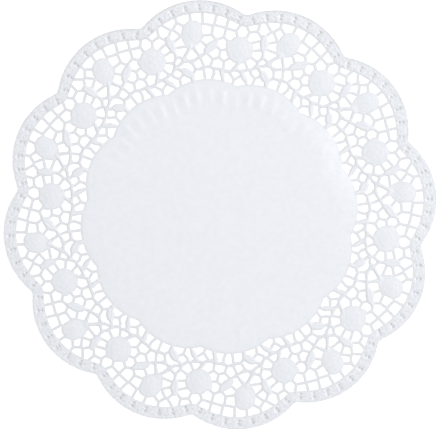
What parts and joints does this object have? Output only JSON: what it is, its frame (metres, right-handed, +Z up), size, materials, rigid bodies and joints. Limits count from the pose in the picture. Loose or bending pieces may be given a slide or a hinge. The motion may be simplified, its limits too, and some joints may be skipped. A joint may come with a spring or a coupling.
{
  "type": "paper doily",
  "caption": "Round lace-paper doily lying flat: a plain middle disc, a die-cut belt of roses, leaves and net, and a scalloped, embossed rim.",
  "frame": {"origin": "middle of the flat underside, on the axis of the round sheet", "axes": "+Z up out of the embossed top face; +X and +Y each through the crest of a scallop"},
  "size_m": [0.3, 0.3, 0.0018],
  "materials": {
    "paper": "bleached white lace paper, smooth and cool in tone, embossed and slightly glossy"
  },
  "bodies": {
    "root": {"doily": "paper"}
  },
  "joints": []
}
